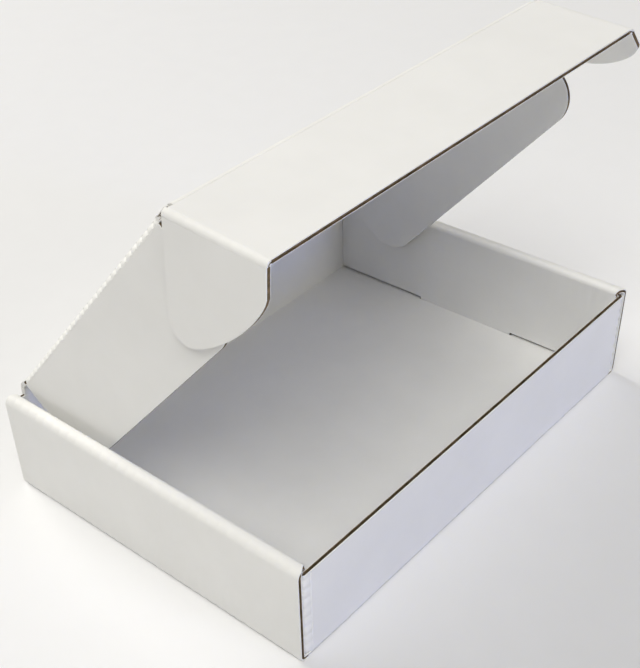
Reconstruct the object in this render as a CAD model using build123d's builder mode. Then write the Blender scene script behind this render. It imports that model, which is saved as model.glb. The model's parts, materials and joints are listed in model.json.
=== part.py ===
"""Roll-end corrugated mailer box with a tuck-in lid, standing open.

One die-cut sheet of fluted board, written as seven solids, because the lid, the tuck flap and
the four side flaps each turn on a crease.  Millimetres, +Z up.  The origin is the centre of the
underside, +X runs along the front wall and +Y points to the wall that carries the lid.
"""
from build123d import *
from math import cos, radians, sin
import os

os.makedirs("parts", exist_ok=True)

# ---- board and folded tray ------------------------------------------------------------------
LENGTH = 296.0  # outside, along X
WIDTH = 209.0  # outside, along Y
HEIGHT = 61.3  # to the top of the rolled end walls
FRONT_HEIGHT = 56.7  # cut edge of the front wall
BOARD = 2.7  # B-flute board after creasing
LAYER_GAP = 0.15  # between two layers of an end wall
FREE = 0.15  # between a flap's knuckle and the panel that carries it

FLOOR_BEND = 1.6  # centre-line radii of the bends
ROLL_OUTER_BEND = 3.0
ROLL_INNER_BEND = 2.0
END_INSET = 0.25  # end walls stop this short of the front and back faces
INNER_LIFT = 1.3  # inner end panel's edge above the floor

TAB_LENGTH = 69.5  # locking tab of each inner end panel
TAB_PLAY = 1.0  # slot beyond each end of the tab
TAB_CORNER = 1.5
TAB_RECESS = 0.1  # tab's edge above the underside
SLOT_PLAY = 0.15

CORNER_FLAP = 80.0  # the four flaps held inside the end walls
CORNER_FLAP_TOP = 57.0
CORNER_FLAP_LIFT = 0.3
CORNER_FLAP_CUT = 9.0

# ---- lid and its flaps ----------------------------------------------------------------------
LID_ELEVATION = 48.6  # degrees above level, as it stands
TUCK_BEND = 52.5  # degrees from the lid's plane to the tuck flap
TUCK_CLEARANCE = 0.5  # between tuck flap and front wall when shut
TUCK_DEPTH = 57.0
EAR_CLEARANCE = 0.35  # between an ear and the end wall when shut
LEFT_EAR_FOLD = 90  # degrees from the tuck flap's plane, as each ear stands
RIGHT_EAR_FOLD = 45
EAR_START = 3.2  # along the tuck flap, from its crease
EAR_BACK = (1.2, 50.0)  # points of an ear's outline, along and below the tuck flap
EAR_TIP = (12.0, 62.3)
EAR_BELLY = (36.5, 48.3)
EAR_FRONT = (54.6, 21.5)
EAR_NECK = 7.0
DUST_FACE = 12.2  # dust flap's outer face, from the end of the box
DUST_START = 4.5  # along the lid, from its hinge
DUST_END = 190.5
DUST_DEPTH = 58.5  # from the lid's outer face
DUST_TAPER = 4.0
DUST_CORNER = 18.0
KNUCKLE_GAP = 0.1  # dust flap's inner face beyond its axis
LID_SHOULDER = 0.6  # lid's front corners, in from the hinge's ends
LID_CORNER_INSET = 2.8

# ---- worked out from the above --------------------------------------------------------------
HALF_L = LENGTH / 2
HALF_W = WIDTH / 2
HALF_T = BOARD / 2
END_WALL = 3 * BOARD + 2 * LAYER_GAP  # outer panel, corner flap and inner panel
EDGE_GAP = HALF_T + FREE  # from a crease's axis to the panel that carries it
HINGE_HEIGHT = HEIGHT + HALF_T
LID_DEPTH = WIDTH - HALF_T - (BOARD + TUCK_CLEARANCE + HALF_T)

outer_mid = HALF_L - HALF_T
inner_mid = HALF_L - END_WALL + HALF_T
bend_start = HALF_L - 2 * BOARD - LAYER_GAP  # front and back walls turn into corner flaps
layer_face = HALF_L - BOARD - LAYER_GAP / 2  # between the outer panel and the layers inside
layer_end = HALF_W - BOARD - LAYER_GAP  # those layers stop behind the front and back walls
inner_foot = BOARD + INNER_LIFT
wall_mid = HALF_W - HALF_T

hinge_half = HALF_L - DUST_FACE
crease_half = hinge_half - LID_CORNER_INSET
dust_axis = hinge_half - BOARD - KNUCKLE_GAP
lid_half = dust_axis - FREE
ear_axis = HALF_L - END_WALL - EAR_CLEARANCE - HALF_T
tuck_half = ear_axis - EDGE_GAP

# Unit directions: out from the hinge along the lid, and out from its far crease along the tuck.
lid_out = Vector(0, -cos(radians(LID_ELEVATION)), sin(radians(LID_ELEVATION)))
tuck_angle = radians(LID_ELEVATION - TUCK_BEND)
tuck_out = Vector(0, -cos(tuck_angle), sin(tuck_angle))
across = Vector(1, 0, 0)
tuck_down = across.cross(tuck_out)

hinge = Vector(0, wall_mid, HINGE_HEIGHT)
tuck_crease = hinge + lid_out * LID_DEPTH

# Sheet planes: local x along the box, y away from the crease, z towards the inside.
lid_plane = Plane(origin=hinge, x_dir=across, z_dir=across.cross(lid_out))
tuck_plane = Plane(origin=tuck_crease, x_dir=across, z_dir=across.cross(tuck_out))

# ---- tray -----------------------------------------------------------------------------------
with BuildPart() as tray:
    # End walls: outer panel, rolled top and inner panel, bent up from the floor in one strip.
    for side in (-1, 1):
        with BuildSketch(Plane.XZ.offset(HALF_W - END_INSET)):
            with BuildLine():
                FilletPolyline(
                    (side * (inner_mid - BOARD), HALF_T),
                    (side * outer_mid, HALF_T),
                    (side * outer_mid, HEIGHT - HALF_T),
                    (side * inner_mid, HEIGHT - HALF_T),
                    (side * inner_mid, inner_foot),
                    radius=[FLOOR_BEND, ROLL_OUTER_BEND, ROLL_INNER_BEND],
                )
            trace(line_width=BOARD)
        extrude(amount=-(WIDTH - 2 * END_INSET))
    # Its inner layers stop behind the front and back walls, and the roll's ends are cut slanting.
    corners = [(side, end) for side in (-1, 1) for end in (-1, 1)]
    for side, end in corners:
        with BuildSketch(Plane.XY.offset(-BOARD)):
            with BuildLine():
                Polyline(
                    (side * layer_face, end * layer_end),
                    (side * layer_face, end * WIDTH),
                    (side * (inner_mid - 2 * BOARD), end * WIDTH),
                    (side * (inner_mid - 2 * BOARD), end * layer_end),
                    close=True,
                )
            make_face()
        extrude(amount=HEIGHT, mode=Mode.SUBTRACT)
        with BuildSketch(Plane.XY.offset(HEIGHT - 2 * BOARD)):
            with BuildLine():
                Polyline(
                    (side * layer_face, end * HALF_W),
                    (side * (inner_mid - HALF_T), end * layer_end),
                    (side * (inner_mid - HALF_T), end * HALF_W),
                    close=True,
                )
            make_face()
        extrude(amount=2 * BOARD, mode=Mode.SUBTRACT)
    # Floor with the front and back walls.
    with BuildSketch(Plane.YZ.offset(-bend_start)):
        with BuildLine():
            FilletPolyline(
                (-wall_mid, FRONT_HEIGHT),
                (-wall_mid, HALF_T),
                (wall_mid, HALF_T),
                (wall_mid, CORNER_FLAP_TOP),
                radius=FLOOR_BEND,
            )
        trace(line_width=BOARD)
    extrude(amount=2 * bend_start)
    # Upper strip of the back wall, between the rolls, up to the lid's crease.
    with BuildSketch(Plane.XY.offset(CORNER_FLAP_TOP)):
        with Locations((0, wall_mid)):
            Rectangle(2 * hinge_half, BOARD)
    extrude(amount=HINGE_HEIGHT - EDGE_GAP - CORNER_FLAP_TOP)
    # Corner flaps: the front and back walls turn a corner and run on inside the end walls.
    flap_foot = BOARD + CORNER_FLAP_LIFT
    for side, end in corners:
        flap_top = FRONT_HEIGHT if end < 0 else CORNER_FLAP_TOP
        with BuildSketch(Plane.XY.offset(flap_foot)):
            with Locations((side * bend_start, end * (HALF_W - BOARD))):
                Circle(BOARD)
                Rectangle(
                    BOARD,
                    BOARD,
                    align=(Align.MIN if side > 0 else Align.MAX, Align.MIN if end > 0 else Align.MAX),
                    mode=Mode.INTERSECT,
                )
        extrude(amount=flap_top - flap_foot)
        with BuildSketch(Plane.YZ.offset(side * (bend_start + HALF_T))):
            with BuildLine():
                Polyline(
                    (end * (HALF_W - BOARD), flap_foot),
                    (end * (HALF_W - CORNER_FLAP + CORNER_FLAP_CUT), flap_foot),
                    (end * (HALF_W - CORNER_FLAP), flap_foot + CORNER_FLAP_CUT),
                    (end * (HALF_W - CORNER_FLAP), flap_top - CORNER_FLAP_CUT),
                    (end * (HALF_W - CORNER_FLAP + CORNER_FLAP_CUT), flap_top),
                    (end * (HALF_W - BOARD), flap_top),
                    close=True,
                )
            make_face()
        extrude(amount=HALF_T, both=True)
    # Slots in the floor, and the locking tabs that stand in them.
    for side in (-1, 1):
        with BuildSketch(Plane.XY):
            with Locations((side * inner_mid, 0)):
                Rectangle(BOARD + 2 * SLOT_PLAY, TAB_LENGTH + 2 * TAB_PLAY)
        extrude(amount=BOARD, mode=Mode.SUBTRACT)
        with BuildSketch(Plane.YZ.offset(side * inner_mid)):
            with Locations((0, TAB_RECESS)):
                Rectangle(TAB_LENGTH, inner_foot - TAB_RECESS, align=(Align.CENTER, Align.MIN))
            chamfer(vertices().group_by(Axis.Y)[0], TAB_CORNER)
        extrude(amount=HALF_T, both=True)
tray.part.label = "tray"
export_step(tray.part, "parts/tray.step")

# ---- lid ------------------------------------------------------------------------------------
with BuildPart() as lid:
    with BuildSketch(lid_plane):
        with BuildLine():
            edge = [
                (hinge_half, 0),
                (hinge_half, DUST_START - FREE),
                (lid_half, DUST_START - FREE),
                (lid_half, DUST_END + FREE),
                (hinge_half - LID_SHOULDER, DUST_END + FREE),
                (crease_half, LID_DEPTH - EDGE_GAP),
            ]
            Polyline(*edge, *[(-x, y) for x, y in reversed(edge)], close=True)
        make_face()
    extrude(amount=HALF_T, both=True)
    # Rounded crease along the back wall.
    with BuildSketch(Plane.YZ.offset(-hinge_half)):
        with Locations((hinge.Y, hinge.Z)):
            Circle(HALF_T)
    extrude(amount=2 * hinge_half)
lid.part.label = "lid"
export_step(lid.part, "parts/lid.step")

# ---- tuck flap ------------------------------------------------------------------------------
with BuildPart() as tuck_flap:
    with BuildSketch(tuck_plane):
        with BuildLine():
            edge = [(crease_half, 0), (tuck_half, EAR_START), (tuck_half, TUCK_DEPTH)]
            Polyline(*edge, *[(-x, y) for x, y in reversed(edge)], close=True)
        make_face()
    extrude(amount=HALF_T, both=True)
    with BuildSketch(Plane.YZ.offset(-crease_half)):
        with Locations((tuck_crease.Y, tuck_crease.Z)):
            Circle(HALF_T)
    extrude(amount=2 * crease_half)
tuck_flap.part.label = "tuck_flap"
export_step(tuck_flap.part, "parts/tuck_flap.step")

# ---- ears of the tuck flap ------------------------------------------------------------------
for side, name, fold in ((-1, "left_ear", LEFT_EAR_FOLD), (1, "right_ear", RIGHT_EAR_FOLD)):
    crease_start = tuck_crease + across * (side * ear_axis)
    ear_out = across * (side * cos(radians(fold))) + tuck_down * sin(radians(fold))
    with BuildPart() as ear:
        # Local x along the tuck flap, y away from it.
        with BuildSketch(Plane(origin=crease_start, x_dir=tuck_out, z_dir=tuck_out.cross(ear_out))):
            with BuildLine():
                Line((TUCK_DEPTH, 0), (EAR_START, 0))
                Line((EAR_START, 0), EAR_BACK)
                TangentArc(EAR_BACK, EAR_TIP, tangent=(0, 1))
                ThreePointArc(EAR_TIP, EAR_BELLY, EAR_FRONT)
                Line(EAR_FRONT, (TUCK_DEPTH, EAR_NECK))
                Line((TUCK_DEPTH, EAR_NECK), (TUCK_DEPTH, 0))
            make_face()
        extrude(amount=HALF_T, both=True)
        # Rounded crease.
        crease_end = crease_start + tuck_out * EAR_START
        with BuildSketch(Plane(origin=crease_end, x_dir=across, z_dir=tuck_out)):
            Circle(HALF_T)
        extrude(amount=TUCK_DEPTH - EAR_START)
    ear.part.label = name
    export_step(ear.part, f"parts/{name}.step")

# ---- dust flaps of the lid ------------------------------------------------------------------
for side, name in ((-1, "left_dust_flap"), (1, "right_dust_flap")):
    face = hinge + across * (side * hinge_half)
    with BuildPart() as dust_flap:
        # Local x along the lid, y down from it.
        with BuildSketch(Plane(origin=face, x_dir=lid_out, z_dir=across)):
            with BuildLine():
                Polyline(
                    (DUST_START, EDGE_GAP),
                    (DUST_START + DUST_TAPER, DUST_DEPTH - HALF_T),
                    (DUST_END, DUST_DEPTH - HALF_T),
                    (DUST_END, EDGE_GAP),
                    close=True,
                )
            make_face()
            fillet(vertices().group_by(Axis.Y)[-1], DUST_CORNER)
        extrude(amount=-side * BOARD)
        # Quarter-round crease, about an axis just under the lid's inner face.
        with BuildSketch(
            Plane(origin=hinge + lid_out * DUST_START, x_dir=across, z_dir=lid_out)
        ):
            with Locations((side * dust_axis, -EDGE_GAP)):
                Circle(BOARD + KNUCKLE_GAP)
                Rectangle(
                    BOARD + KNUCKLE_GAP,
                    BOARD + KNUCKLE_GAP,
                    align=(Align.MIN if side > 0 else Align.MAX, Align.MIN),
                    mode=Mode.INTERSECT,
                )
        extrude(amount=DUST_END - DUST_START)
    dust_flap.part.label = name
    export_step(dust_flap.part, f"parts/{name}.step")
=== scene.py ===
"""A roll-end corrugated mailer box, standing open on a pale studio floor.

Every panel is real corrugated board: two white liners with brown fluting between them.  The
tray's sheets are folded up from the floor, and the creases that turn are strips of their own.
"""
import bmesh
import bpy
import json
from math import cos, pi, radians, sin, tan
from mathutils import Matrix, Vector


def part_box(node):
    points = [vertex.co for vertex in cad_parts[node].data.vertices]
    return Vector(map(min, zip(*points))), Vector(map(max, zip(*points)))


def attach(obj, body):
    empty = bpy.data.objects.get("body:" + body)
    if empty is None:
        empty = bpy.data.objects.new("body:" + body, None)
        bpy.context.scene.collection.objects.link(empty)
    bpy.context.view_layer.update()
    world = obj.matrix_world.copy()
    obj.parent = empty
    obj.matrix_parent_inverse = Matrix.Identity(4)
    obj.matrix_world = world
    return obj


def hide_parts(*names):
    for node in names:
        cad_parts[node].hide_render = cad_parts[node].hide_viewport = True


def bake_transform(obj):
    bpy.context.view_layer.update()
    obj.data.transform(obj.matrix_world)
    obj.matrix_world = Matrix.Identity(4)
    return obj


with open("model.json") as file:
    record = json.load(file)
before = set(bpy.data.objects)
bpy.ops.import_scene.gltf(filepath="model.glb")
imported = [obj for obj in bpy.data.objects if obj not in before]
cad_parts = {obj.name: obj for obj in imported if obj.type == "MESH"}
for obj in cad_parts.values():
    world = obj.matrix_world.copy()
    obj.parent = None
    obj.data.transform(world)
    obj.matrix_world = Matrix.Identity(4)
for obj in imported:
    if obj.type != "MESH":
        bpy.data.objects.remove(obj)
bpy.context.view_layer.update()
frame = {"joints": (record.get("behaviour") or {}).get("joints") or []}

# ---- board ----------------------------------------------------------------------------------
BOARD = 0.0027
HALF = BOARD / 2
LINER = 0.00066  # thickness of a liner
LINER_MID = HALF - LINER / 2  # a liner's middle, from the board's middle
PAPER = 0.0002  # thickness of the fluting
WAVE = HALF - LINER - PAPER / 2  # height of a flute either side of the board's middle
PITCH = 0.0063  # from flute to flute
PHASES = 8  # rows to a flute
ROW = PITCH / PHASES
PRESSED_EDGE = 0.0002  # chamfer that the cutting die leaves on a liner
RECESS = 0.0003  # fluting stands back from a cut edge
CRUSHED = 0.0013  # thickness of liner and flattened fluting in a smooth crease
CRUSHED_RIPPLED = 0.0010  # and in a rippled one
SEAM = 0.00003  # how far a crease's skin runs on over the panels beside it
BEND_STEPS = 6
ROLL_STEPS = 8
TOUCH = 0.0001  # points nearer than this count as one place
SMOOTH_BELOW = radians(40)
CHAMFER_ABOVE = radians(60)

# ---- sizes; the outside is read from the frame ------------------------------------------------
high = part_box("tray")[1]
HALF_L = high.x
HALF_W = high.y
HEIGHT = high.z
FRONT_HEIGHT = 0.0567
LAYER_GAP = 0.00015
BACK_HEIGHT = HEIGHT - LAYER_GAP
END_WALL = 0.0084  # outer panel, corner flap and inner panel
END_INSET = 0.00025
CREASE_RUN = 0.0030  # how far a corner crease's ripples run on along the wall
BEND = 0.0016  # mid-board radius where walls leave the floor
ROLL_OUTER = 0.0030
ROLL_INNER = 0.0020
INNER_FOOT = 0.0040
TAB_HALF = 0.03475
TAB_FOOT = 0.0001
SLOT_HALF = TAB_HALF + 0.0010
FLAP_LENGTH = 0.080
FLAP_FOOT = 0.0030
FLAP_TOP = 0.0570

# How deep the liner pillows between the flutes, where a crease crosses them.
FOOT_RIPPLE = 0.00025
ROLL_RIPPLE = 0.00022
ROLL_INNER_RIPPLE = 0.00014
CORNER_RIPPLE = 0.0008
EAR_RIPPLE = 0.0001
DUST_RIPPLE = 0.0013
RIPPLED_SHARE = 0.72  # ripples lie past this share of a bend's radius

outer_mid = HALF_L - HALF
inner_mid = HALF_L - END_WALL + HALF
fold_x = HALF_L - 2 * BOARD - LAYER_GAP  # front and back walls turn their corners here
layer_face = HALF_L - BOARD - LAYER_GAP / 2
layer_end = HALF_W - BOARD - LAYER_GAP
wall_mid = HALF_W - HALF

joints = {joint["name"]: joint for joint in frame["joints"]}
ACROSS = Vector((1, 0, 0))
REARWARD = Vector((0, 1, 0))
UPWARD = Vector((0, 0, 1))
hinge = Vector(joints["lid_hinge"]["pos_m"])
crease = Vector(joints["tuck_hinge"]["pos_m"])
lid_depth = (crease - hinge).length
lid_out = (crease - hinge).normalized()
lid_up = lid_out.cross(ACROSS)
tuck_out = Vector(joints["right_ear_hinge"]["axis"]).normalized()
tuck_up = tuck_out.cross(ACROSS)
ear_axis = joints["right_ear_hinge"]["pos_m"][0]
dust_axis = joints["right_dust_hinge"]["pos_m"][0]
dust_drop = (hinge - Vector(joints["right_dust_hinge"]["pos_m"])).dot(lid_up)

EDGE_GAP = HALF + LAYER_GAP  # a panel starts this far from its crease's axis
TUCK_DEPTH = 0.0570
EAR_START = 0.0006
EAR_DEPTH = 0.0624
EAR_LEAN = 0.0008  # along the tuck flap, where the ear's rear edge ends
EAR_CORNER = 0.0115
EAR_BELLY = 0.046  # reach and fullness of the ear's long curve
EAR_FULLNESS = 0.36
ROUND = 0.5  # fullness of a plain round corner
LEFT_EAR_FOLD = pi / 2  # from the tuck flap's plane
RIGHT_EAR_FOLD = pi / 4
DUST_START = 0.0045
DUST_END = 0.1925
DUST_DEPTH = 0.05715
DUST_TAPER = 0.0040
DUST_CORNER = 0.018
LID_SHOULDER = 0.0006
LID_CORNER_INSET = 0.0028
KNUCKLE_GAP = 0.0001
hinge_half = dust_axis + BOARD + KNUCKLE_GAP
crease_half = hinge_half - LID_CORNER_INSET
lid_half = dust_axis - LAYER_GAP
tuck_half = ear_axis - EDGE_GAP


# ---- materials ------------------------------------------------------------------------------
def node_tree(name):
    """A new material, its node tree and its shader."""
    material = bpy.data.materials.new(name)
    material.use_nodes = True
    tree = material.node_tree
    return material, tree, tree.nodes["Principled BSDF"]


def noise(tree, coords, scale, detail, roughness):
    texture = tree.nodes.new("ShaderNodeTexNoise")
    texture.inputs["Scale"].default_value = scale
    texture.inputs["Detail"].default_value = detail
    texture.inputs["Roughness"].default_value = roughness
    tree.links.new(coords, texture.inputs["Vector"])
    return texture.outputs["Fac"]


def bump(tree, height, distance, strength, before=None):
    node = tree.nodes.new("ShaderNodeBump")
    node.inputs["Distance"].default_value = distance
    node.inputs["Strength"].default_value = strength
    tree.links.new(height, node.inputs["Height"])
    if before is not None:
        tree.links.new(before, node.inputs["Normal"])
    return node.outputs["Normal"]


def two_colors(tree, factor, dark, light, start=0.0, end=1.0):
    """A colour that goes from dark to light as the factor goes from start to end."""
    ramp = tree.nodes.new("ShaderNodeValToRGB")
    first, last = ramp.color_ramp.elements
    first.position = start
    first.color = (*dark, 1)
    last.position = end
    last.color = (*light, 1)
    tree.links.new(factor, ramp.inputs["Fac"])
    return ramp.outputs["Color"]


def white_liner(name, across_flutes):
    """White paper, faintly ribbed by the flutes that lie under it."""
    material, tree, shader = node_tree(name)
    coords = tree.nodes.new("ShaderNodeTexCoord").outputs["Object"]
    cloud = noise(tree, coords, 26.0, 3.0, 0.55)
    color = two_colors(tree, cloud, (0.862, 0.858, 0.833), (0.897, 0.893, 0.868), 0.30, 0.72)
    tree.links.new(color, shader.inputs["Base Color"])
    shader.inputs["Roughness"].default_value = 0.52
    shader.inputs["Specular IOR Level"].default_value = 0.35
    # The distance across the flutes, as a wave of the flutes' pitch.
    along = tree.nodes.new("ShaderNodeVectorMath")
    along.operation = "DOT_PRODUCT"
    along.inputs[1].default_value = across_flutes * (2 * pi / PITCH)
    tree.links.new(coords, along.inputs[0])
    wave = tree.nodes.new("ShaderNodeMath")
    wave.operation = "SINE"
    tree.links.new(along.outputs["Value"], wave.inputs[0])
    ribs = bump(tree, wave.outputs["Value"], 0.00002, 0.35)
    fibres = noise(tree, coords, 900.0, 4.0, 0.6)
    tree.links.new(bump(tree, fibres, 0.00005, 0.18, ribs), shader.inputs["Normal"])
    return material


def kraft_paper():
    """Brown recycled paper of the fluting."""
    material, tree, shader = node_tree("kraft_fluting")
    coords = tree.nodes.new("ShaderNodeTexCoord").outputs["Object"]
    fibres = noise(tree, coords, 160.0, 6.0, 0.70)
    color = two_colors(tree, fibres, (0.090, 0.070, 0.036), (0.340, 0.245, 0.150), 0.32, 0.70)
    tree.links.new(color, shader.inputs["Base Color"])
    shader.inputs["Roughness"].default_value = 0.92
    shader.inputs["Specular IOR Level"].default_value = 0.15
    tree.links.new(bump(tree, fibres, 0.0001, 0.5), shader.inputs["Normal"])
    return material


def studio_floor():
    material, tree, shader = node_tree("studio_floor")
    coords = tree.nodes.new("ShaderNodeTexCoord").outputs["Object"]
    grain = noise(tree, coords, 40.0, 2.0, 0.5)
    color = two_colors(tree, grain, (0.830, 0.832, 0.840), (0.850, 0.852, 0.860))
    tree.links.new(color, shader.inputs["Base Color"])
    shader.inputs["Roughness"].default_value = 0.9
    return material


LINER_FLOOR = white_liner("white_liner_floor", Vector((0, 1, 0)))
LINER_WALL = white_liner("white_liner_walls", Vector((0, 0, 1)))
LINER_LID = white_liner("white_liner_lid", lid_out)
LINER_TUCK = white_liner("white_liner_tuck", tuck_out)
KRAFT = kraft_paper()


# ---- hand tools -----------------------------------------------------------------------------
def deselect():
    if bpy.context.mode != "OBJECT":
        bpy.ops.object.mode_set(mode="OBJECT")
    bpy.ops.object.select_all(action="DESELECT")


def pick(test, kind="VERT"):
    """In edit mode, selects the vertices, edges or faces whose middle passes the test."""
    bpy.ops.mesh.select_mode(type=kind)
    bpy.ops.mesh.select_all(action="DESELECT")
    mesh = bmesh.from_edit_mesh(bpy.context.object.data)
    if kind == "VERT":
        for vert in mesh.verts:
            vert.select = bool(test(vert.co))
    elif kind == "EDGE":
        for edge in mesh.edges:
            edge.select = bool(test((edge.verts[0].co + edge.verts[1].co) / 2))
    else:
        for face in mesh.faces:
            face.select = bool(test(face.calc_center_median()))
    mesh.select_flush_mode()
    bmesh.update_edit_mesh(bpy.context.object.data)


def chain(test):
    """Selects the open edges whose both ends pass the test, ready to be extruded or spun."""
    bpy.ops.mesh.select_mode(type="EDGE")
    bpy.ops.mesh.select_all(action="DESELECT")
    mesh = bmesh.from_edit_mesh(bpy.context.object.data)
    for edge in mesh.edges:
        edge.select = all(test(vert.co) for vert in edge.verts) and len(edge.link_faces) < 2
    mesh.select_flush_mode()
    bmesh.update_edit_mesh(bpy.context.object.data)


def move(offset):
    bpy.ops.transform.translate(value=tuple(offset))


def run(offset):
    """Carries the selected edges on in a straight line."""
    bpy.ops.mesh.extrude_region_move(TRANSFORM_OT_translate={"value": tuple(offset)})


def turn(center, axis, angle, steps):
    """Carries the selected edges on round a bend, by the right-hand rule about axis."""
    bpy.ops.mesh.spin(steps=steps, angle=-angle, center=tuple(center), axis=tuple(axis))


def grid(name, x_size, y_size, x_cuts, y_cuts, center):
    """A flat grid in edit mode, x_size by y_size, with that many cells each way."""
    deselect()
    bpy.ops.mesh.primitive_grid_add(x_subdivisions=x_cuts, y_subdivisions=y_cuts, size=1)
    bpy.context.object.name = name
    bpy.context.object.data.name = name
    bpy.ops.object.mode_set(mode="EDIT")
    bpy.ops.mesh.select_all(action="SELECT")
    bpy.ops.transform.resize(value=(x_size, y_size, 1))
    move(center)
    return bpy.context.object


def modify(kind, **settings):
    """Adds a modifier to the active object and applies it."""
    obj = bpy.context.object
    modifier = obj.modifiers.new(kind.title(), kind)
    for key, value in settings.items():
        setattr(modifier, key, value)
    bpy.ops.object.modifier_apply(modifier=modifier.name)


def finish_piece(obj, material, body, thickness=None, facing=None):
    """Gives a sheet its thickness, its finish and the body that it rides on, if it has just one.

    facing is a point near the sheet and the way that its white face looks there.  The other
    face is brown, as the back of a liner is.
    """
    deselect()
    bpy.context.view_layer.objects.active = obj
    obj.select_set(True)
    bpy.ops.object.mode_set(mode="EDIT")
    bpy.ops.mesh.select_all(action="SELECT")
    bpy.ops.mesh.remove_doubles(threshold=TOUCH / 20)
    bpy.ops.mesh.normals_make_consistent(inside=False)
    bpy.ops.object.mode_set(mode="OBJECT")
    obj.data.materials.clear()
    obj.data.materials.append(material)
    if facing:
        point, direction = facing
        nearest = min(obj.data.polygons, key=lambda face: (face.center - point).length)
        if nearest.normal.dot(direction) < 0:
            bpy.ops.object.mode_set(mode="EDIT")
            bpy.ops.mesh.flip_normals()
            bpy.ops.object.mode_set(mode="OBJECT")
        obj.data.materials.append(KRAFT)
    if thickness:
        modify("SOLIDIFY", thickness=thickness, offset=0, use_even_offset=True,
               material_offset=1 if facing else 0)
        if thickness > PAPER:
            modify("BEVEL", width=PRESSED_EDGE, segments=1, limit_method="ANGLE",
                   angle_limit=CHAMFER_ABOVE)
    bpy.ops.object.shade_smooth_by_angle(angle=SMOOTH_BELOW)
    if body:
        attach(obj, body)
    return obj


def set_down(obj, origin, x_dir, y_dir):
    """Stands a sheet that was made flat on its plane, and applies its place."""
    deselect()
    bpy.context.view_layer.objects.active = obj
    obj.select_set(True)
    z_dir = x_dir.cross(y_dir)
    turned = Matrix((x_dir, y_dir, z_dir)).transposed().to_4x4()
    obj.matrix_world = Matrix.Translation(origin) @ turned
    bpy.ops.object.transform_apply(location=True, rotation=True, scale=True)


def phase_of(distance):
    return round(distance / ROW) % PHASES


def flute(distance_of, normal):
    """In edit mode, lifts and lowers the rows of a flat sheet into flutes."""
    for phase in range(PHASES):
        height = WAVE * sin(2 * pi * phase / PHASES)
        if abs(height) > PAPER / 10:
            pick(lambda co: phase_of(distance_of(co)) == phase)
            move(Vector(normal) * height)


def pillow(distance_of, region, direction, depth, sharpness=2):
    """Dents the rows of a crushed crease that lie between two flutes."""
    for phase in range(PHASES):
        sink = depth * (1 - abs(sin(pi * phase / PHASES))) ** sharpness
        if sink > depth / 50:
            pick(lambda co: region(co) and phase_of(distance_of(co)) == phase)
            move(Vector(direction) * -sink)


# ---- tray -----------------------------------------------------------------------------------
def floor_and_walls(name, level, material):
    """One liner of the floor with the front and back walls, folded up on smooth creases."""
    flat_half = wall_mid - BEND
    obj = grid(name, 2 * fold_x, 2 * flat_half, 1, 1, (0, 0, HALF + level))
    bend_z = HALF + BEND
    for end, top in ((-1, FRONT_HEIGHT), (1, FLAP_TOP)):
        chain(lambda co: co.y * end > flat_half - TOUCH and co.z < bend_z)
        turn((0, end * flat_half, bend_z), (1, 0, 0), end * pi / 2, BEND_STEPS)
        run((0, 0, top - bend_z))
    # Slots for the locking tabs are marked out on the floor.
    slot_inner = inner_mid - HALF - LAYER_GAP
    for side in (-1, 1):
        pick(lambda co: abs(co.y) < TOUCH and co.z < bend_z, "FACE")
        bpy.ops.mesh.bisect(plane_co=(side * slot_inner, 0, 0), plane_no=(1, 0, 0))
    for end in (-1, 1):
        pick(lambda co: abs(co.y) < flat_half and co.z < bend_z - 2 * TOUCH, "FACE")
        bpy.ops.mesh.bisect(plane_co=(0, end * SLOT_HALF, 0), plane_no=(0, 1, 0))
    # The outer liner of the walls gives way to the rippled corner creases.
    wall_end = fold_x - CREASE_RUN
    if level < 0:
        for side in (-1, 1):
            pick(lambda co: co.z > bend_z, "FACE")
            bpy.ops.mesh.bisect(plane_co=(side * wall_end, 0, 0), plane_no=(1, 0, 0))
        pick(lambda co: abs(co.x) > wall_end and co.z > bend_z, "FACE")
        bpy.ops.mesh.delete(type="FACE")
    pick(lambda co: abs(co.x) > slot_inner and abs(co.y) < SLOT_HALF and co.z < bend_z, "FACE")
    bpy.ops.mesh.delete(type="FACE")
    facing = (Vector((0, 0, HALF + level)), Vector((0, 0, level)))
    return finish_piece(obj, material, "tray", LINER, facing)


def wall_fluting(name, y, top):
    """Fluting of the front or back wall, its flutes lying along the box."""
    height = top - FLAP_FOOT - RECESS
    rows = int(height / ROW)
    obj = grid(name, 2 * fold_x, rows * ROW, 1, rows, (0, FLAP_FOOT + rows * ROW / 2, 0))
    flute(lambda co: co.y - FLAP_FOOT, (0, 0, 1))
    bpy.ops.object.mode_set(mode="OBJECT")
    set_down(obj, Vector((0, y, 0)), ACROSS, Vector((0, 0, 1)))
    finish_piece(obj, KRAFT, "tray", PAPER)


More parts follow.
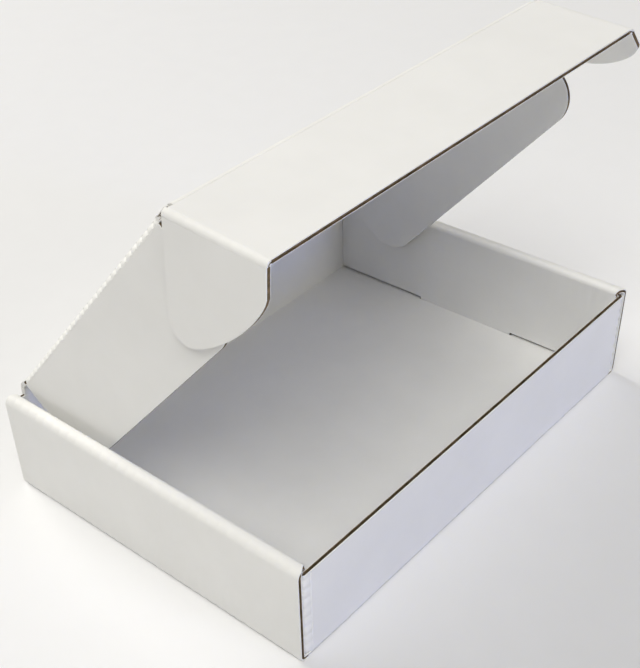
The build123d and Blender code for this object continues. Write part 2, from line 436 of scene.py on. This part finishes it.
def end_roll(name, side, level, material, thickness):
    """One layer of an end wall: up from the floor, over the rolled top and down inside.

    level is how far the layer lies outside the board's middle.  None makes the fluting, whose
    flutes run up the wall.
    """
    width = 2 * (HALF_W - END_INSET)
    rows = int(width / ROW / 2) * 2
    start = side * fold_x
    bend_x = side * (outer_mid - BEND)
    half_width = width / 2 if level is not None else rows * ROW / 2 - ROW / 4
    height = -level if level is not None else 0
    obj = grid(name, abs(bend_x - start), 2 * half_width, 1, rows,
               ((bend_x + start) / 2, 0, HALF + height))

    def row_of(co):
        return (co.y + half_width) / (2 * half_width / rows) * ROW

    if level is None:
        flute(row_of, (0, 0, -1))
    edge = max(abs(bend_x), abs(start))
    chain(lambda co: co.x * side > edge - TOUCH)
    turn((bend_x, 0, HALF + BEND), (0, 1, 0), -side * pi / 2, BEND_STEPS)
    roll_z = HEIGHT - HALF - ROLL_OUTER
    run((0, 0, roll_z - HALF - BEND))
    outer_x = outer_mid - ROLL_OUTER
    turn((side * outer_x, 0, roll_z), (0, 1, 0), -side * pi / 2, ROLL_STEPS)
    inner_x = inner_mid + ROLL_INNER
    run((side * (inner_x - outer_x), 0, 0))
    inner_z = HEIGHT - HALF - ROLL_INNER
    turn((side * inner_x, 0, inner_z), (0, 1, 0), -side * pi / 2, ROLL_STEPS)
    run((0, 0, INNER_FOOT - inner_z))
    # Crushed creases: the liner pillows between the flutes where they cross them.
    if level is not None and level > 0:
        pillow(row_of,
               lambda co: co.z > roll_z + 4 * TOUCH and abs(co.x) > outer_x + 4 * TOUCH,
               Vector((side, 0, 1)).normalized(), ROLL_RIPPLE)
        pillow(row_of,
               lambda co: co.z < HALF + BEND - 3 * TOUCH and abs(co.x) > outer_mid - BEND,
               Vector((side, 0, -1)).normalized(), FOOT_RIPPLE)
        pillow(row_of,
               lambda co: co.z > inner_z + 3 * TOUCH and abs(co.x) < inner_x - 3 * TOUCH,
               Vector((-side, 0, 1)).normalized(), ROLL_INNER_RIPPLE)
    # Locking tab: the inner panel's foot runs on into the floor's slot.
    chain(lambda co: abs(co.z - INNER_FOOT) < TOUCH and abs(co.y) < TAB_HALF + ROW / 4
          and abs(co.x) < inner_mid + HALF + TOUCH)
    run((0, 0, TAB_FOOT - INNER_FOOT))
    # The inner layers stop behind the front and back walls, and the roll is cut slanting.
    for end in (-1, 1):
        pick(lambda co: abs(co.x) < inner_mid + HALF and co.z < inner_z and co.z > INNER_FOOT,
             "FACE")
        bpy.ops.mesh.bisect(plane_co=(0, end * layer_end, 0), plane_no=(0, end, 0),
                            clear_outer=True)
        run_x = layer_face - (inner_mid - HALF)
        run_y = END_INSET + BOARD + LAYER_GAP
        slant = Vector((-side * run_y, end * run_x, 0)).normalized()
        pick(lambda co: co.z > roll_z and abs(co.x) < layer_face, "FACE")
        bpy.ops.mesh.bisect(plane_co=(side * layer_face, end * (HALF_W - END_INSET), 0),
                            plane_no=slant, clear_outer=True)
    facing = None
    if level is not None:
        facing = (Vector((side * (outer_mid + level), 0, HEIGHT / 2)), Vector((side * level, 0, 0)))
    finish_piece(obj, material, "tray", thickness, facing)


def corner_flap(name, side, end, level, material, thickness):
    """One layer of a corner flap and of the rippled crease that it turns on."""
    top = FRONT_HEIGHT if end < 0 else FLAP_TOP
    height = top - FLAP_FOOT
    rows = round(height / ROW)
    length = FLAP_LENGTH - BOARD
    radius = HALF + (level if level is not None else 0)
    obj = grid(name, length, height, 1, rows, (length / 2, height / 2, 0))
    if level is None:
        flute(lambda co: co.y / height * rows * ROW, (0, 0, 1))
    bpy.ops.object.mode_set(mode="OBJECT")
    # Stood up inside the end wall, running away from the corner.
    crease_y = end * (HALF_W - BOARD)
    set_down(obj, Vector((side * (fold_x + radius), crease_y, FLAP_FOOT)),
             Vector((0, -end, 0)), Vector((0, 0, 1)))
    bpy.ops.object.mode_set(mode="EDIT")
    chain(lambda co: abs(co.y - crease_y) < TOUCH / 5)
    turn((side * fold_x, crease_y, 0), (0, 0, 1), side * end * pi / 2, BEND_STEPS)
    if level is not None and level > 0:
        run((-side * CREASE_RUN, 0, 0))
        pillow(lambda co: (co.z - FLAP_FOOT) / height * rows * ROW,
               lambda co: abs(co.y) > abs(crease_y) + TOUCH and abs(co.x) > fold_x - TOUCH,
               Vector((side, end, 0)).normalized(), CORNER_RIPPLE, sharpness=1)
    facing = None
    if level is not None:
        facing = (Vector((side * (fold_x + radius), end * (HALF_W - FLAP_LENGTH), top / 2)),
                  Vector((side * level, 0, 0)))
    finish_piece(obj, material, "tray", thickness, facing)


# ---- lid, tuck flap, ears and dust flaps ----------------------------------------------------
def outline(name, corners, rounds=(), cuts=(), notch=None):
    """A flat sheet in edit mode: four corners, some rounded, some cut off, its sides notched.

    rounds holds a corner's number, its size and its fullness.  cuts holds a point and the way
    out past it, for both sides alike.  notch holds the half width that is left, its start and
    its end.
    """
    obj = grid(name, 1, 1, 1, 1, (0, 0, 0))
    for (x, y), start in zip(corners, ((-0.5, -0.5), (0.5, -0.5), (0.5, 0.5), (-0.5, 0.5))):
        pick(lambda co: (co.xy - Vector(start)).length < TOUCH)
        move((x - start[0], y - start[1], 0))
    for corner, size, profile in rounds:
        x, y = corners[corner]
        pick(lambda co: abs(co.x - x) < TOUCH / 10 and abs(co.y - y) < TOUCH / 10)
        bpy.ops.mesh.bevel(offset=size, offset_type="OFFSET", affect="VERTICES",
                           segments=20, profile=profile)
    for point, outward in cuts:
        for side in (-1, 1):
            bpy.ops.mesh.select_all(action="SELECT")
            bpy.ops.mesh.bisect(plane_co=(side * point[0], point[1], 0), clear_outer=True,
                                plane_no=(side * outward[0], outward[1], 0))
    if notch:
        notch_x, notch_start, notch_end = notch
        for line, normal in (((notch_x, 0, 0), (1, 0, 0)), ((-notch_x, 0, 0), (1, 0, 0)),
                             ((0, notch_start, 0), (0, 1, 0)), ((0, notch_end, 0), (0, 1, 0))):
            bpy.ops.mesh.select_all(action="SELECT")
            bpy.ops.mesh.bisect(plane_co=line, plane_no=normal)
        pick(lambda co: abs(co.x) > notch_x and notch_start < co.y < notch_end, "FACE")
        bpy.ops.mesh.delete(type="FACE")
    return obj


def panel(name, body, corners, place, material, flutes_along_x=True, **shape):
    """A panel of board: two liners and the fluting between them.  Returns the liner on its face."""
    liners = []
    for layer, level in (("face", -LINER_MID), ("back", LINER_MID)):
        obj = outline(f"{name}_{layer}_liner", corners, **shape)
        bpy.ops.mesh.select_all(action="SELECT")
        move((0, 0, level))
        bpy.ops.object.mode_set(mode="OBJECT")
        set_down(obj, *place)
        middle = sum((vert.co for vert in obj.data.vertices), Vector()) / len(obj.data.vertices)
        facing = (middle, place[1].cross(place[2]) * level)
        liners.append(finish_piece(obj, material, body, LINER, facing))
    # The cutter is the same outline, a little smaller and thick enough to hold the flutes.
    cutter = outline(f"{name}_cutter", corners, **shape)
    bpy.ops.mesh.select_all(action="SELECT")
    bpy.ops.mesh.inset(thickness=RECESS, depth=0)
    bpy.ops.mesh.select_all(action="INVERT")
    bpy.ops.mesh.delete(type="FACE")
    bpy.ops.mesh.select_all(action="SELECT")
    move((0, 0, -BOARD))
    run((0, 0, 2 * BOARD))
    bpy.ops.mesh.select_all(action="SELECT")
    bpy.ops.mesh.normals_make_consistent(inside=False)
    bpy.ops.object.mode_set(mode="OBJECT")
    xs, ys = zip(*corners)
    x_size = max(xs) - min(xs)
    y_size = max(ys) - min(ys)
    if flutes_along_x:
        rows = int(y_size / ROW) + 2
        start = min(ys) - ROW
        fluting = grid(f"{name}_fluting", x_size, rows * ROW, 1, rows,
                       ((min(xs) + max(xs)) / 2, start + rows * ROW / 2, 0))
        flute(lambda co: co.y - start, (0, 0, 1))
    else:
        rows = int(x_size / ROW) + 2
        start = min(xs) - ROW
        fluting = grid(f"{name}_fluting", rows * ROW, y_size, rows, 1,
                       (start + rows * ROW / 2, (min(ys) + max(ys)) / 2, 0))
        flute(lambda co: co.x - start, (0, 0, 1))
    bpy.ops.object.mode_set(mode="OBJECT")
    modify("SOLIDIFY", thickness=PAPER, offset=0)
    modify("BOOLEAN", operation="INTERSECT", object=cutter, solver="EXACT")
    bpy.data.objects.remove(cutter)
    set_down(fluting, *place)
    finish_piece(fluting, KRAFT, body)
    return liners[0]


def crease_strip(name, start, length, start_dir, face_dir, bend, center, material,
                 rippled=0.0):
    """The skins of a crease, rounded from one panel's edge to the next panel's.

    start is one end of the crease's axis.  start_dir points from the crease to the first
    panel and face_dir out of that panel's face.  center is the middle of the bend, as its
    distance from start along start_dir and below it, against face_dir.
    """
    axis = start_dir.cross(face_dir)
    rows = max(1, round(length / ROW)) if rippled else 1
    middle_line = start + start_dir * center[0] - face_dir * center[1]
    turned = Matrix.Rotation(bend, 3, axis)
    middle = (face_dir + turned @ face_dir).normalized()
    skin = CRUSHED_RIPPLED if rippled else CRUSHED
    crushed_mid = HALF - skin / 2
    for layer, level in (("", crushed_mid), ("_inner", -crushed_mid)):
        radius = center[1] + level
        obj = grid(name + layer, length, SEAM, rows, 1, (length / 2, SEAM / 2, radius))
        bpy.ops.object.mode_set(mode="OBJECT")
        # Local x runs along the crease, y to the first panel and z out of its face.
        set_down(obj, middle_line, axis, start_dir)
        bpy.ops.object.mode_set(mode="EDIT")
        chain(lambda co: abs((co - middle_line).dot(start_dir)) < TOUCH / 10)
        turn(middle_line, axis, bend, ROLL_STEPS)
        run(turned @ (-start_dir * SEAM))
        if rippled and level > 0:
            ripple_start = middle_line + middle * radius * RIPPLED_SHARE
            pillow(lambda co: (co - start).dot(axis) / length * rows * ROW,
                   lambda co: (co - ripple_start).dot(middle) > 0, middle, rippled)
        facing = (middle_line + middle * radius, middle * level)
        finish_piece(obj, material, None, skin, facing)
        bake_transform(obj)


def pressed_end(name, body, start, end, normal):
    """White paper pressed over a cut edge of board, from start to end along its middle."""
    length = (end - start).length
    obj = grid(name, length, BOARD, 1, 1, (length / 2, 0, 0))
    bpy.ops.object.mode_set(mode="OBJECT")
    set_down(obj, start, (end - start) / length, normal)
    finish_piece(obj, LINER_LID, body, PAPER)


def round_bend(bend):
    """The middle of the round bend that just fills the gap between two panels' edges."""
    return EDGE_GAP, EDGE_GAP / tan(bend / 2)


# ---- the box --------------------------------------------------------------------------------
floor_face = floor_and_walls("floor_face_liner", LINER_MID, LINER_FLOOR)
floor_and_walls("floor_under_liner", -LINER_MID, LINER_WALL)
wall_fluting("front_wall_fluting", -wall_mid, FRONT_HEIGHT)
wall_fluting("back_wall_fluting", wall_mid, FLAP_TOP)
for side, hand in ((-1, "left"), (1, "right")):
    end_roll(f"{hand}_roll_face_liner", side, LINER_MID, LINER_FLOOR, LINER)
    end_roll(f"{hand}_roll_back_liner", side, -LINER_MID, LINER_FLOOR, LINER)
    end_roll(f"{hand}_roll_fluting", side, None, KRAFT, PAPER)
    for end, place in ((-1, "front"), (1, "rear")):
        for layer, level in (("face_liner", LINER_MID), ("back_liner", -LINER_MID)):
            corner_flap(f"{hand}_{place}_flap_{layer}", side, end, level, LINER_WALL, LINER)
        corner_flap(f"{hand}_{place}_flap_fluting", side, end, None, KRAFT, PAPER)
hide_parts("tray")

# Strip of the back wall above the corner flaps' height.
rim_height = BACK_HEIGHT - FLAP_TOP
rim_corners = [(-hinge_half, 0), (hinge_half, 0),
               (hinge_half, rim_height), (-hinge_half, rim_height)]
panel("back_wall_rim", "tray", rim_corners, (Vector((0, wall_mid, FLAP_TOP)), ACROSS, UPWARD),
      LINER_WALL)
hinge_bend = REARWARD.angle(lid_up)
crease_strip("hinge_crease", hinge - ACROSS * hinge_half, 2 * hinge_half,
             -UPWARD, REARWARD, hinge_bend, round_bend(hinge_bend), LINER_LID)

shoulder = hinge_half - LID_SHOULDER
lid_corners = [(-hinge_half, EDGE_GAP), (hinge_half, EDGE_GAP),
               (shoulder, lid_depth - EDGE_GAP), (-shoulder, lid_depth - EDGE_GAP)]
lid_cut = ((crease_half, lid_depth - EDGE_GAP),
           (lid_depth - EDGE_GAP - DUST_END, shoulder - crease_half))
lid = panel("lid", "lid", lid_corners, (hinge, ACROSS, lid_out), LINER_LID,
            cuts=(lid_cut,), notch=(lid_half, DUST_START, DUST_END))
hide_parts("lid")
tuck_bend = lid_up.angle(tuck_up)
crease_strip("tuck_crease", crease - ACROSS * crease_half,
             2 * crease_half, -lid_out, lid_up, tuck_bend, round_bend(tuck_bend), LINER_LID)

tuck_corners = [(-tuck_half, EDGE_GAP), (tuck_half, EDGE_GAP),
                (tuck_half, TUCK_DEPTH), (-tuck_half, TUCK_DEPTH)]
tuck = panel("tuck_flap", "tuck_flap", tuck_corners, (crease, ACROSS, tuck_out), LINER_TUCK)
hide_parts("tuck_flap")

for side, hand, fold in ((-1, "left", LEFT_EAR_FOLD), (1, "right", RIGHT_EAR_FOLD)):
    inward = ACROSS * -side
    hinge_end = hinge - inward * hinge_half
    pressed_end(f"{hand}_rim_end", "tray", Vector((hinge_end.x, wall_mid, FLAP_TOP)),
                Vector((hinge_end.x, wall_mid, BACK_HEIGHT)), REARWARD)
    pressed_end(f"{hand}_lid_heel", "lid", hinge_end + lid_out * EDGE_GAP,
                hinge_end + lid_out * DUST_START, lid_up)
    pressed_end(f"{hand}_lid_corner", "lid",
                hinge - inward * shoulder + lid_out * DUST_END,
                hinge - inward * crease_half + lid_out * (lid_depth - EDGE_GAP), lid_up)
    ear_out = -inward * cos(fold) - tuck_up * sin(fold)
    # Ear: local x along the tuck flap, y away from it.
    ear_corners = [(EAR_START, EDGE_GAP), (TUCK_DEPTH, EDGE_GAP),
                   (TUCK_DEPTH, EAR_DEPTH), (EAR_LEAN, EAR_DEPTH)]
    ear = panel(f"{hand}_ear", f"{hand}_ear", ear_corners,
                (crease - inward * ear_axis, tuck_out, ear_out), LINER_TUCK,
                flutes_along_x=False,
                rounds=((3, EAR_CORNER, ROUND), (2, EAR_BELLY, EAR_FULLNESS)))
    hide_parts(f"{hand}_ear")
    crease_strip(f"{hand}_ear_crease",
                 crease - inward * ear_axis + tuck_out * (EAR_START if side < 0 else TUCK_DEPTH),
                 TUCK_DEPTH - EAR_START, inward, tuck_up, fold, round_bend(fold),
                 LINER_TUCK, rippled=EAR_RIPPLE)
    # Dust flap: local x along the lid, y down from it.
    dust_corners = [(DUST_START, dust_drop), (DUST_END, dust_drop),
                    (DUST_END, DUST_DEPTH), (DUST_START + DUST_TAPER, DUST_DEPTH)]
    dust = panel(f"{hand}_dust_flap", f"{hand}_dust_flap", dust_corners,
                 (hinge - inward * (hinge_half - HALF), lid_out, -lid_up), LINER_LID,
                 flutes_along_x=False,
                 rounds=((3, DUST_CORNER, ROUND), (2, DUST_CORNER, ROUND)))
    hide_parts(f"{hand}_dust_flap")
    crease_strip(f"{hand}_dust_crease",
                 hinge - inward * lid_half + lid_out * (DUST_START if side < 0 else DUST_END),
                 DUST_END - DUST_START, inward, lid_up, pi / 2, (0, dust_drop),
                 LINER_LID, rippled=DUST_RIPPLE)

# ---- stage ----------------------------------------------------------------------------------
deselect()
bpy.ops.mesh.primitive_plane_add(size=14, location=(0, 0, 0))
floor = bpy.context.object
floor.name = "studio_floor"
floor.data.materials.append(studio_floor())


def area_light(name, location, size, power, color):
    """A round softbox that faces the box."""
    deselect()
    bpy.ops.object.light_add(type="AREA", location=location)
    light = bpy.context.object
    light.name = name
    light.data.shape = "DISK"
    light.data.size = size
    light.data.energy = power
    light.data.color = color
    light.rotation_euler = (-Vector(location)).to_track_quat("-Z", "Y").to_euler()
    return light


area_light("key_softbox", (-2.25, -1.70, 4.75), 3.75, 185, (1.0, 0.985, 0.945))
area_light("rear_softbox", (0, 4.50, 3.15), 3.25, 206, (1.0, 0.975, 0.92))
area_light("front_fill", (0.5, -5.00, 2.50), 2.5, 41, (1.0, 0.955, 0.82))
low_fill = area_light("low_fill", (0.75, -5.40, 0.85), 1.5, 2.3, (0.05, 0.20, 1.0))
low_fill.data.spread = radians(40)  # a honeycomb keeps it off the floor

# The backdrop looks pale, and lights the box only faintly.
BACKDROP_GLOW = 0.10
BACKDROP_LOOK = 0.65
world = bpy.data.worlds.new("studio")
world.use_nodes = True
background = world.node_tree.nodes["Background"]
background.inputs["Color"].default_value = (0.98, 0.98, 1.0, 1)
rays = world.node_tree.nodes.new("ShaderNodeLightPath")
strength = world.node_tree.nodes.new("ShaderNodeMath")
strength.operation = "MULTIPLY_ADD"
strength.inputs[1].default_value = BACKDROP_LOOK - BACKDROP_GLOW
strength.inputs[2].default_value = BACKDROP_GLOW
world.node_tree.links.new(rays.outputs["Is Camera Ray"], strength.inputs[0])
world.node_tree.links.new(strength.outputs["Value"], background.inputs["Strength"])
bpy.context.scene.world = world

# ---- camera ---------------------------------------------------------------------------------
camera_data = bpy.data.cameras.new("camera")
camera = bpy.data.objects.new("camera", camera_data)
bpy.context.scene.collection.objects.link(camera)
camera.location = (-0.4180, -0.3516, 0.4460)
forward = Vector((0.54327, 0.53419, -0.64769)).normalized()
upright = Vector((0.51041, 0.40238, 0.75998))
right = forward.cross(upright).normalized()
camera.rotation_euler = (
    Matrix((right, right.cross(forward), -forward)).transposed().to_euler()
)
camera_data.lens = 63.8
camera_data.sensor_width = 36
camera_data.shift_x = 0.0905
camera_data.shift_y = 0.176
camera_data.clip_start = 0.01
bpy.context.scene.camera = camera
bpy.context.scene.view_settings.view_transform = "Standard"
